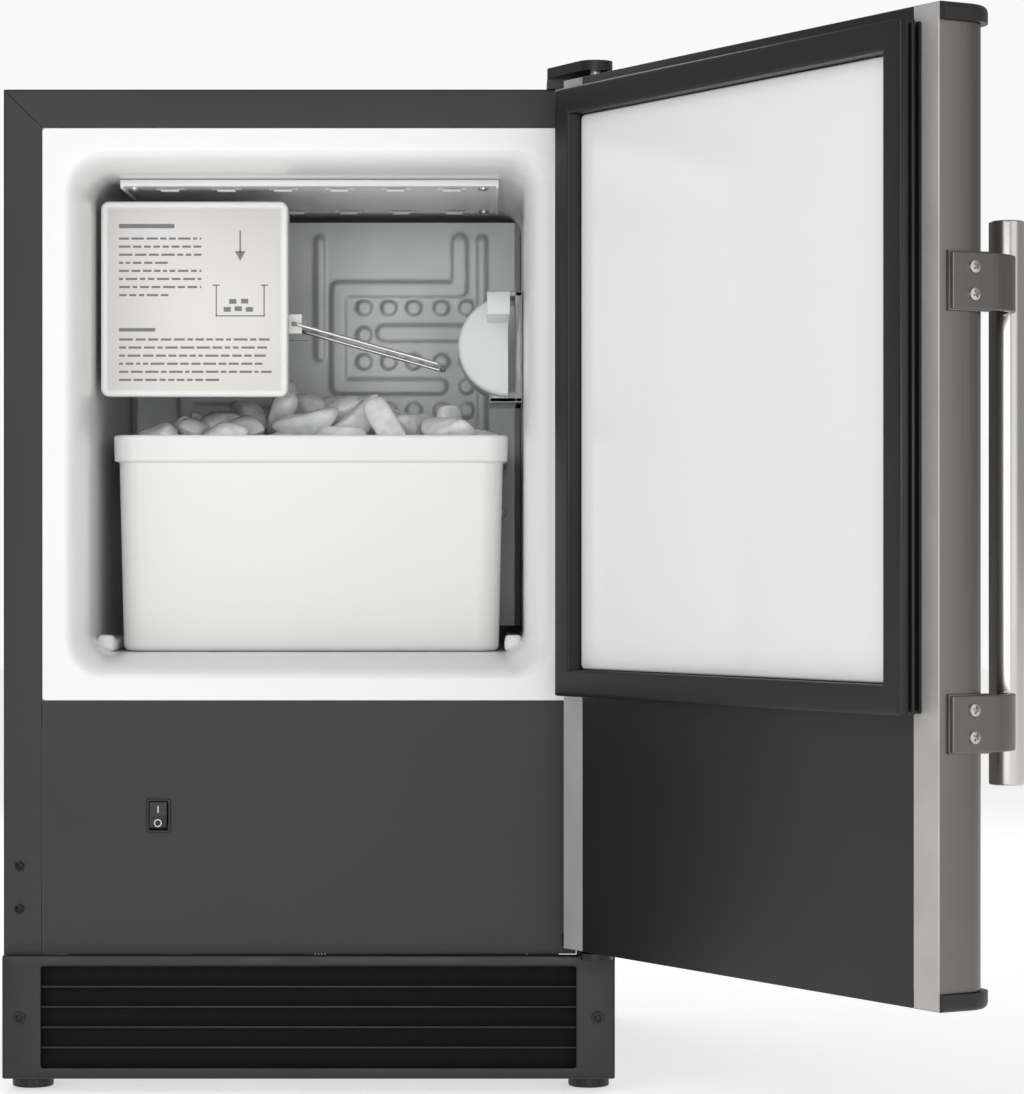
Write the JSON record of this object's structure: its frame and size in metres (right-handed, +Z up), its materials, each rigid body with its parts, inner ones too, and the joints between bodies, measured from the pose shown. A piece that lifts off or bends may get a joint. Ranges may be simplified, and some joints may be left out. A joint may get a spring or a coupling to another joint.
{
  "type": "ice maker",
  "caption": "Built-in crescent-ice maker with an insulated cabinet, side-hinged door with bar handle, lift-out ice bin, scoop and refrigeration set.",
  "frame": {"origin": "middle of the foot of the whole box at rest, with the door open: on the floor plane", "axes": "+Z up, +Y from the front to the back of the cabinet, +X to the right as seen from the front, which is the hinge side"},
  "size_m": [0.5866, 0.743, 0.6286],
  "materials": {
    "charcoal_paint": "satin",
    "galvanised_steel": "satin",
    "stainless_steel": "satin",
    "black_enamel": "gloss",
    "black_plastic": "satin",
    "white_plastic": "gloss",
    "grey_plastic": "satin",
    "clear_plastic": "gloss",
    "cast_aluminium": "matte",
    "roll_bond_aluminium": "satin",
    "copper_tube": "satin",
    "gasket_rubber": "matte",
    "insulation_foam": "matte"
  },
  "bodies": {
    "cabinet": {"cabinet_wrap": "charcoal_paint", "lower_front_panel": "charcoal_paint", "rear_panel": "galvanised_steel", "machine_deck": "galvanised_steel", "base_pan": "galvanised_steel", "ejector_motor": "galvanised_steel", "fan_shroud": "galvanised_steel", "top_hinge_pin": "stainless_steel", "bottom_hinge_pin": "stainless_steel", "condenser": "black_enamel", "compressor": "black_enamel", "bottom_hinge_bracket": "black_enamel", "toe_grille": "black_plastic", "switch_bezel": "black_plastic", "power_inlet": "black_plastic", "top_hinge_bracket": "black_plastic", "inner_liner": "white_plastic", "bin_guide_left": "white_plastic", "bin_guide_right": "white_plastic", "ceiling_tray": "white_plastic", "module_housing": "white_plastic", "ice_stripper": "white_plastic", "fill_cup": "white_plastic", "water_valve": "white_plastic", "module_cover": "grey_plastic", "scoop_holder": "clear_plastic", "fill_tube": "clear_plastic", "ice_mould": "cast_aluminium", "fan_motor": "cast_aluminium", "evaporator_plate": "roll_bond_aluminium", "discharge_line": "copper_tube", "liquid_line": "copper_tube", "filter_drier": "copper_tube", "suction_line": "copper_tube", "compressor_mount_1": "gasket_rubber", "compressor_mount_2": "gasket_rubber", "compressor_mount_3": "gasket_rubber", "compressor_mount_4": "gasket_rubber", "cabinet_foam": "insulation_foam"},
    "door": {"door_skin": "stainless_steel", "door_foam": "insulation_foam", "door_inner_panel": "charcoal_paint", "door_white_panel": "white_plastic", "door_gasket": "gasket_rubber", "door_top_cap": "black_plastic", "door_bottom_cap": "black_plastic", "handle_tube": "stainless_steel", "handle_bracket_lower": "stainless_steel", "handle_bracket_upper": "stainless_steel"},
    "ice_bin": {"ice_bin": "white_plastic"},
    "ice_scoop": {"ice_scoop": "clear_plastic"},
    "ejector": {"ejector_shaft": "grey_plastic", "timing_cam": "white_plastic"},
    "shutoff_arm": {"shutoff_arm": "stainless_steel"},
    "fan": {"fan_blade": "black_plastic"},
    "rocker": {"switch_rocker": "black_plastic"},
    "foot_front_left": {"foot_front_left": "black_plastic"},
    "foot_front_right": {"foot_front_right": "black_plastic"},
    "foot_rear_left": {"foot_rear_left": "black_plastic"},
    "foot_rear_right": {"foot_rear_right": "black_plastic"}
  },
  "joints": [
    {"name": "door_hinge", "type": "hinge", "parent": "cabinet", "child": "door", "pos_m": [0.0697, -0.04987, 0.3], "axis": [0, 0, 1], "range_deg": [-120.3, 12]},
    {"name": "bin_slide", "type": "slide", "parent": "cabinet", "child": "ice_bin", "axis": [0, -1, 0], "range_m": [0, 0.3]},
    {"name": "scoop_slide", "type": "slide", "parent": "cabinet", "child": "ice_scoop", "axis": [0, -1, 0], "range_m": [0, 0.25]},
    {"name": "shutoff_arm_swing", "type": "hinge", "parent": "cabinet", "child": "shutoff_arm", "pos_m": [-0.11875, 0.09053, 0.4764], "axis": [0, -1, 0], "range_deg": [0, 40]},
    {"name": "ejector_turn", "type": "hinge", "parent": "cabinet", "child": "ejector", "pos_m": [-0.18965, 0.18053, 0.503], "axis": [0, 1, 0], "continuous": true},
    {"name": "fan_spin", "type": "hinge", "parent": "cabinet", "child": "fan", "pos_m": [-0.15335, 0.05253, 0.0797], "axis": [0, 1, 0], "continuous": true},
    {"name": "rocker_tilt", "type": "hinge", "parent": "cabinet", "child": "rocker", "pos_m": [-0.19785, -0.01947, 0.1692], "axis": [1, 0, 0], "range_deg": [0, 20]},
    {"name": "front_left_foot_height", "type": "slide", "parent": "cabinet", "child": "foot_front_left", "axis": [0, 0, -1], "range_m": [0, 0.012]},
    {"name": "front_right_foot_height", "type": "slide", "parent": "cabinet", "child": "foot_front_right", "axis": [0, 0, -1], "range_m": [0, 0.012]},
    {"name": "rear_left_foot_height", "type": "slide", "parent": "cabinet", "child": "foot_rear_left", "axis": [0, 0, -1], "range_m": [0, 0.012]},
    {"name": "rear_right_foot_height", "type": "slide", "parent": "cabinet", "child": "foot_rear_right", "axis": [0, 0, -1], "range_m": [0, 0.012]}
  ]
}
